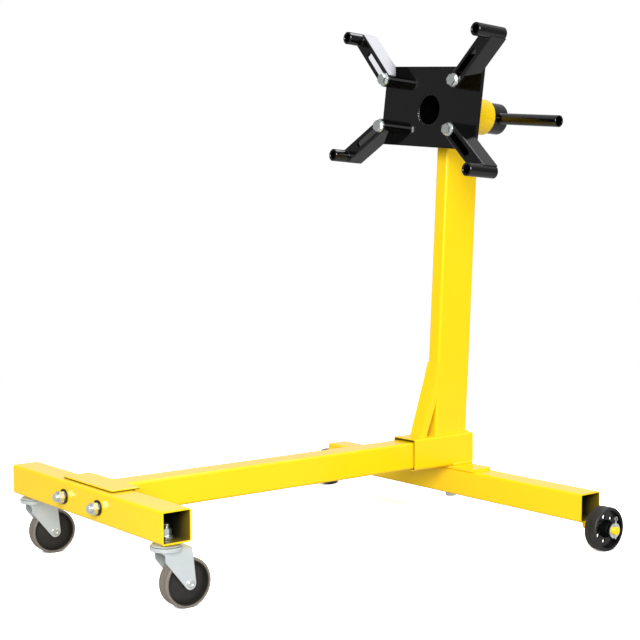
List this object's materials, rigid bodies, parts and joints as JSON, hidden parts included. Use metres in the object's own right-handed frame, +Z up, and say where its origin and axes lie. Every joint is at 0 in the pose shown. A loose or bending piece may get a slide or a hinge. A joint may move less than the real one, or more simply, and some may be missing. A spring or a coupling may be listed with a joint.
{
  "type": "engine stand",
  "caption": "Wheeled tubular engine stand: long beam, rear cross tube, leaning post and a rotating head plate with slotted arms.",
  "frame": {"origin": "on the floor under the middle of the stand's bounding box", "axes": "+Z up, +Y from the casters towards the post, +X the side the handle points to"},
  "size_m": [0.82, 0.9434, 0.9351],
  "materials": {
    "yellow_paint": "semi-gloss powder coat",
    "black_paint": "gloss enamel",
    "zinc_plate": "bright zinc plating",
    "dark_washer": "black oxide",
    "bearing_steel": "polished balls",
    "caster_tread": "smooth hard rubber",
    "caster_wheel_core": "moulded core",
    "rear_tread": "satin black rubber",
    "black_plastic": "gloss moulded plastic"
  },
  "bodies": {
    "frame": {"front_cross_tube": "yellow_paint", "beam_end_plate": "yellow_paint", "main_beam": "yellow_paint", "beam_top_plate": "yellow_paint", "receiver_tube": "yellow_paint", "saddle_plate": "yellow_paint", "post_tube": "yellow_paint", "post_gusset": "yellow_paint", "rear_cross_tube": "yellow_paint", "rear_axles": "yellow_paint", "pivot_sleeve": "yellow_paint", "front_bolts": "zinc_plate", "front_nuts": "zinc_plate", "receiver_bolt": "zinc_plate", "receiver_washer": "zinc_plate", "receiver_nut": "zinc_plate", "rear_washers": "zinc_plate", "cotter_pins": "zinc_plate", "caster_stems": "zinc_plate", "caster_stem_nuts": "zinc_plate", "caster_stem_washers": "zinc_plate", "caster_races": "zinc_plate", "front_washers": "dark_washer"},
    "lock_pin": {"lock_pin": "zinc_plate"},
    "head": {"head_plate": "black_paint", "head_tube": "black_paint"},
    "handle": {"handle_bar": "black_paint"},
    "arm_pivot_upper_left": {"arm_bolt_upper_left": "zinc_plate", "arm_nut_upper_left": "zinc_plate"},
    "arm_upper_left": {"arm_channel_upper_left": "black_paint", "arm_end_tube_upper_left": "black_paint"},
    "arm_pivot_upper_right": {"arm_bolt_upper_right": "zinc_plate", "arm_nut_upper_right": "zinc_plate"},
    "arm_upper_right": {"arm_channel_upper_right": "black_paint", "arm_end_tube_upper_right": "black_paint"},
    "arm_pivot_lower_left": {"arm_bolt_lower_left": "zinc_plate", "arm_nut_lower_left": "zinc_plate"},
    "arm_lower_left": {"arm_channel_lower_left": "black_paint", "arm_end_tube_lower_left": "black_paint"},
    "arm_pivot_lower_right": {"arm_bolt_lower_right": "zinc_plate", "arm_nut_lower_right": "zinc_plate"},
    "arm_lower_right": {"arm_channel_lower_right": "black_paint", "arm_end_tube_lower_right": "black_paint"},
    "caster_left": {"caster_fork_left": "zinc_plate", "caster_balls_left": "bearing_steel", "caster_axle_left": "zinc_plate", "caster_axle_nut_left": "zinc_plate"},
    "caster_wheel_left": {"caster_tyre_left": "caster_tread", "caster_hub_left": "caster_wheel_core"},
    "caster_right": {"caster_fork_right": "zinc_plate", "caster_balls_right": "bearing_steel", "caster_axle_right": "zinc_plate", "caster_axle_nut_right": "zinc_plate"},
    "caster_wheel_right": {"caster_tyre_right": "caster_tread", "caster_hub_right": "caster_wheel_core"},
    "rear_wheel_left": {"rear_tyre_left": "rear_tread", "rear_hub_left": "black_plastic"},
    "rear_wheel_right": {"rear_tyre_right": "rear_tread", "rear_hub_right": "black_plastic"}
  },
  "joints": [
    {"name": "head_spin", "type": "hinge", "parent": "frame", "child": "head", "pos_m": [0, 0.2884, 0.776], "axis": [0, -0.9986, 0.0523], "continuous": true},
    {"name": "handle_slide", "type": "slide", "parent": "head", "child": "handle", "axis": [0.9957, -0.0048, -0.0922], "range_m": [-0.1399, 0.0119]},
    {"name": "lock_pin_lift", "type": "slide", "parent": "frame", "child": "lock_pin", "axis": [0, 0.0523, 0.9986], "range_m": [0, 0.018]},
    {"name": "arm_swing_upper_left", "type": "hinge", "parent": "head", "child": "arm_pivot_upper_left", "pos_m": [-0.09128, 0.29158, 0.83661], "axis": [0, 0.9986, -0.0523], "range_deg": [-41.8, 45]},
    {"name": "arm_slide_upper_left", "type": "slide", "parent": "arm_pivot_upper_left", "child": "arm_upper_left", "axis": [-0.6807, 0.0383, 0.7315], "range_m": [-0.066, 0]},
    {"name": "arm_swing_upper_right", "type": "hinge", "parent": "head", "child": "arm_pivot_upper_right", "pos_m": [0.10089, 0.29064, 0.81881], "axis": [0, -0.9986, 0.0523], "range_deg": [-48.5, 45]},
    {"name": "arm_slide_upper_right", "type": "slide", "parent": "arm_pivot_upper_right", "child": "arm_upper_right", "axis": [0.729, 0.0358, 0.6836], "range_m": [-0.066, 0]},
    {"name": "arm_swing_lower_left", "type": "hinge", "parent": "head", "child": "arm_pivot_lower_left", "pos_m": [-0.09946, 0.28696, 0.74861], "axis": [0, -0.9986, 0.0523], "range_deg": [-33.7, 45]},
    {"name": "arm_slide_lower_left", "type": "slide", "parent": "arm_pivot_lower_left", "child": "arm_lower_left", "axis": [-0.8796, -0.0249, -0.475], "range_m": [-0.066, 0]},
    {"name": "arm_swing_lower_right", "type": "hinge", "parent": "head", "child": "arm_pivot_lower_right", "pos_m": [0.09272, 0.28603, 0.7308], "axis": [0, 0.9986, -0.0523], "range_deg": [-37.5, 45]},
    {"name": "arm_slide_lower_right", "type": "slide", "parent": "arm_pivot_lower_right", "child": "arm_lower_right", "axis": [0.7337, -0.0356, -0.6785], "range_m": [-0.066, 0]},
    {"name": "caster_swivel_left", "type": "hinge", "parent": "frame", "child": "caster_left", "pos_m": [-0.214, -0.4282, 0], "axis": [0, 0, 1], "continuous": true},
    {"name": "caster_roll_left", "type": "hinge", "parent": "caster_left", "child": "caster_wheel_left", "pos_m": [-0.21034, -0.39842, 0.038], "axis": [0.9925, -0.1219, 0], "continuous": true},
    {"name": "caster_swivel_right", "type": "hinge", "parent": "frame", "child": "caster_right", "pos_m": [0.214, -0.4282, 0], "axis": [0, 0, 1], "continuous": true},
    {"name": "caster_roll_right", "type": "hinge", "parent": "caster_right", "child": "caster_wheel_right", "pos_m": [0.21557, -0.39824, 0.038], "axis": [0.9986, -0.0523, 0], "continuous": true},
    {"name": "rear_roll_left", "type": "hinge", "parent": "frame", "child": "rear_wheel_left", "pos_m": [-0.3805, 0.3478, 0.038], "axis": [-1, 0, 0], "continuous": true},
    {"name": "rear_roll_right", "type": "hinge", "parent": "frame", "child": "rear_wheel_right", "pos_m": [0.3805, 0.3478, 0.038], "axis": [1, 0, 0], "continuous": true}
  ]
}
